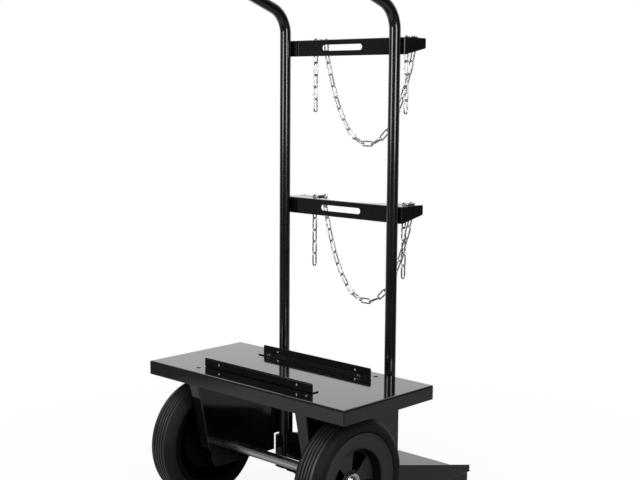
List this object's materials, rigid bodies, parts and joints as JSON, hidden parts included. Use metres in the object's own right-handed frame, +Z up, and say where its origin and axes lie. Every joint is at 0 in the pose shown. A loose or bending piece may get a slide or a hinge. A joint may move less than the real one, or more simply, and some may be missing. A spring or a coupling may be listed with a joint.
{
  "type": "welding trolley",
  "caption": "Welding trolley with a machine platform, a toe tray and chained cradle bars for a gas cylinder, and an axle with rubber-tyred wheels",
  "frame": {"origin": "floor level, under the middle of the trolley's outer box", "axes": "X across the trolley along the axle; Y from the machine side to the cylinder side; Z up"},
  "size_m": [0.6, 0.633, 1.1979],
  "materials": {
    "coat": "gloss black powder coat",
    "rubber": "solid rubber, grooved tread",
    "plastic": "moulded, satin",
    "nylon": "natural nylon",
    "zinc": "bright zinc plate",
    "chain_zinc": "bright zinc plate, welded links"
  },
  "bodies": {
    "trolley": {"tube_frame": "coat", "platform_tray": "coat", "machine_bracket_front": "coat", "machine_bracket_rear": "coat", "side_plate_left": "coat", "side_plate_right": "coat", "toe_tray": "coat", "skid_left": "coat", "skid_right": "coat", "cradle_bar_upper": "coat", "cradle_bar_lower": "coat", "bracket_screw_front_left": "zinc", "bracket_screw_front_right": "zinc", "bracket_screw_rear_left": "zinc", "bracket_screw_rear_right": "zinc", "bracket_nut_front_left": "zinc", "bracket_nut_front_right": "zinc", "bracket_nut_rear_left": "zinc", "bracket_nut_rear_right": "zinc", "axle": "zinc", "axle_spacer_left": "zinc", "cap_washer_left": "zinc", "hub_cap_left": "zinc", "axle_spacer_right": "zinc", "cap_washer_right": "zinc", "hub_cap_right": "zinc", "chain_seat_upper_left": "chain_zinc", "chain_seat_upper_right": "chain_zinc", "chain_seat_lower_left": "chain_zinc", "chain_seat_lower_right": "chain_zinc"},
    "wheel_left": {"tyre_left": "rubber", "rim_left": "plastic", "wheel_bush_outer_left": "nylon", "wheel_bush_inner_left": "nylon"},
    "wheel_right": {"tyre_right": "rubber", "rim_right": "plastic", "wheel_bush_outer_right": "nylon", "wheel_bush_inner_right": "nylon"},
    "chain_upper": {"chain_main_upper": "chain_zinc"},
    "tail_upper_left": {"chain_tail_upper_left": "chain_zinc"},
    "tail_upper_right": {"chain_tail_upper_right": "chain_zinc"},
    "chain_lower": {"chain_main_lower": "chain_zinc"},
    "tail_lower_left": {"chain_tail_lower_left": "chain_zinc"},
    "tail_lower_right": {"chain_tail_lower_right": "chain_zinc"}
  },
  "joints": [
    {"name": "wheel_left_turn", "type": "hinge", "parent": "trolley", "child": "wheel_left", "pos_m": [-0.2245, -0.178, 0.1385], "axis": [1, 0, 0], "continuous": true},
    {"name": "wheel_right_turn", "type": "hinge", "parent": "trolley", "child": "wheel_right", "pos_m": [0.2245, -0.178, 0.1385], "axis": [1, 0, 0], "continuous": true},
    {"name": "chain_upper_swing", "type": "hinge", "parent": "trolley", "child": "chain_upper", "pos_m": [0.02445, 0.1007, 1.0301], "axis": [1, 0, 0], "range_deg": [0, 75]},
    {"name": "tail_upper_left_swing", "type": "hinge", "parent": "trolley", "child": "tail_upper_left", "pos_m": [-0.1166, 0.0752, 1.0301], "axis": [1, 0, 0], "range_deg": [-8, 8]},
    {"name": "tail_upper_right_swing", "type": "hinge", "parent": "trolley", "child": "tail_upper_right", "pos_m": [0.1555, 0.0752, 1.0301], "axis": [1, 0, 0], "range_deg": [-8, 8]},
    {"name": "chain_lower_swing", "type": "hinge", "parent": "trolley", "child": "chain_lower", "pos_m": [0.02445, 0.1007, 0.6651], "axis": [1, 0, 0], "range_deg": [0, 75]},
    {"name": "tail_lower_left_swing", "type": "hinge", "parent": "trolley", "child": "tail_lower_left", "pos_m": [-0.1166, 0.0752, 0.6651], "axis": [1, 0, 0], "range_deg": [-8, 8]},
    {"name": "tail_lower_right_swing", "type": "hinge", "parent": "trolley", "child": "tail_lower_right", "pos_m": [0.1555, 0.0752, 0.6651], "axis": [1, 0, 0], "range_deg": [-8, 8]}
  ]
}
